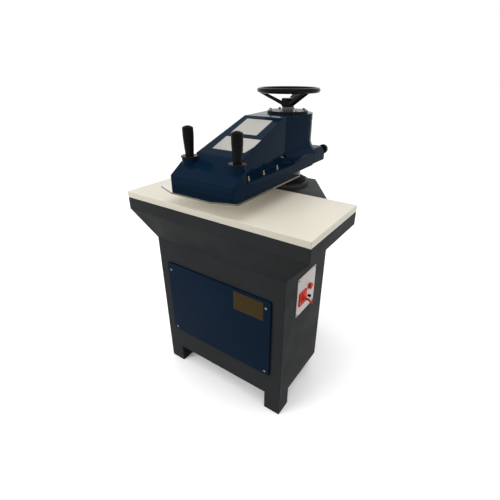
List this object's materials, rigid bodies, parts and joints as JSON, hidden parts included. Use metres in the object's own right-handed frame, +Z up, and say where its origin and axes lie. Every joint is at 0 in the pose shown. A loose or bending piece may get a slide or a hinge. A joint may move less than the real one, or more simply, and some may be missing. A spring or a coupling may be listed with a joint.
{
  "type": "swing arm clicker press",
  "caption": "Floor-standing press whose cast arm swings on a rear pillar over a cutting board, is set for height by a handwheel and is pulled down by a hydraulic ram.",
  "frame": {"origin": "on the floor, under the middle of the overall width and depth", "axes": "+X to the operator's right, +Y to the rear, +Z up"},
  "size_m": [0.9, 0.849, 1.3806],
  "materials": {
    "charcoal_paint": "semi-gloss enamel",
    "deck_paint": "semi-gloss enamel",
    "navy_paint": "gloss enamel",
    "board_plastic": "cast cream plastic, fine grain",
    "hard_chrome": "ground and hard chromed",
    "plate_steel": "polished",
    "plain_steel": "bright turned",
    "yellow_zinc": "yellow passivated",
    "black_steel": "blackened, glossy",
    "black_plastic": "moulded black",
    "seal_rubber": "matt",
    "bearing_bronze": "bored and turned",
    "red_plastic": "moulded red",
    "pale_paint": "satin enamel",
    "grey_paint": "machine enamel",
    "bare_iron": "machined"
  },
  "bodies": {
    "base": {"front_wall": "charcoal_paint", "right_wall": "charcoal_paint", "rear_right_wall": "charcoal_paint", "rear_wall": "charcoal_paint", "rear_left_wall": "charcoal_paint", "left_wall": "charcoal_paint", "cabinet_floor": "charcoal_paint", "rear_deck": "deck_paint", "table_bed": "charcoal_paint", "hopper_front": "charcoal_paint", "hopper_right": "charcoal_paint", "hopper_left": "charcoal_paint", "cutting_board": "board_plastic", "front_legs": "charcoal_paint", "rear_legs": "charcoal_paint", "front_panel": "navy_paint", "front_panel_screws": "plain_steel", "control_plate": "pale_paint", "control_plate_screws": "plain_steel", "switch_base": "red_plastic", "switch_body": "black_plastic", "button_housings": "plain_steel", "cylinder_barrel": "charcoal_paint", "gland_bush": "bearing_bronze", "pillar_flange": "black_steel", "wiper_ring": "seal_rubber", "flange_bolts": "black_steel", "oil_tank": "charcoal_paint", "motor": "grey_paint", "pump": "bare_iron", "valve_block": "plain_steel", "pressure_pipe": "plain_steel"},
    "ram": {"pillar": "hard_chrome", "piston": "plain_steel", "piston_seals": "seal_rubber", "piston_nut": "plain_steel", "height_nut": "bearing_bronze", "sleeve_key": "plain_steel"},
    "carriage": {"guide_sleeve": "bearing_bronze", "thrust_washer": "bearing_bronze", "hub_cap": "black_steel", "hub_cap_bolts": "plain_steel", "neck_bush": "plain_steel"},
    "arm": {"arm_body": "navy_paint", "rear_cap": "navy_paint", "rear_cap_screws": "plain_steel", "striking_plate": "plate_steel", "plate_bolts": "yellow_zinc", "grip_collars": "black_steel", "grips": "black_plastic"},
    "wheel": {"handwheel": "black_plastic", "height_screw": "plain_steel", "screw_collar": "plain_steel"},
    "left_thumb": {"left_thumb_button": "black_plastic"},
    "right_thumb": {"right_thumb_button": "black_plastic"},
    "clamp": {"clamp_knob": "black_plastic"},
    "switch": {"switch_handle": "red_plastic"},
    "stop": {"stop_button": "red_plastic"},
    "start": {"start_button": "black_plastic"},
    "drive": {"drive_coupling": "plain_steel"}
  },
  "joints": [
    {"name": "press_stroke", "type": "slide", "parent": "base", "child": "ram", "axis": [0, 0, 1], "range_m": [-0.055, 0]},
    {"name": "height_adjust", "type": "slide", "parent": "ram", "child": "carriage", "axis": [0, 0, 1], "range_m": [0, 0.06]},
    {"name": "handwheel_turn", "type": "hinge", "parent": "carriage", "child": "wheel", "pos_m": [-0.0215, 0.2725, 1.3696], "axis": [0, 0, 1], "range_deg": [0, 3600]},
    {"name": "arm_swing", "type": "hinge", "parent": "carriage", "child": "arm", "pos_m": [-0.0215, 0.2725, 1.157], "axis": [0, 0, 1], "range_deg": [-90, 90]},
    {"name": "left_thumb_push", "type": "slide", "parent": "arm", "child": "left_thumb", "axis": [0, 0, -1], "range_m": [0, 0.003], "stiffness_N_per_m": 600, "springref_m": -0.002},
    {"name": "right_thumb_push", "type": "slide", "parent": "arm", "child": "right_thumb", "axis": [0, 0, -1], "range_m": [0, 0.003], "stiffness_N_per_m": 600, "springref_m": -0.002},
    {"name": "clamp_turn", "type": "hinge", "parent": "arm", "child": "clamp", "pos_m": [0.1185, 0.4105, 1.094], "axis": [0, 1, 0], "range_deg": [0, 180]},
    {"name": "switch_turn", "type": "hinge", "parent": "base", "child": "switch", "pos_m": [0.3585, -0.1575, 0.589], "axis": [1, 0, 0], "range_deg": [0, 90]},
    {"name": "stop_push", "type": "slide", "parent": "base", "child": "stop", "axis": [-1, 0, 0], "range_m": [0, 0.003], "stiffness_N_per_m": 600, "springref_m": -0.002},
    {"name": "start_push", "type": "slide", "parent": "base", "child": "start", "axis": [-1, 0, 0], "range_m": [0, 0.003], "stiffness_N_per_m": 600, "springref_m": -0.002},
    {"name": "drive_turn", "type": "hinge", "parent": "base", "child": "drive", "pos_m": [-0.0315, -0.1525, 0.336], "axis": [1, 0, 0], "continuous": true}
  ],
  "couplings": [
    {"joint": "height_adjust", "follows": "handwheel_turn", "m_per_rad": 0.000954}
  ]
}
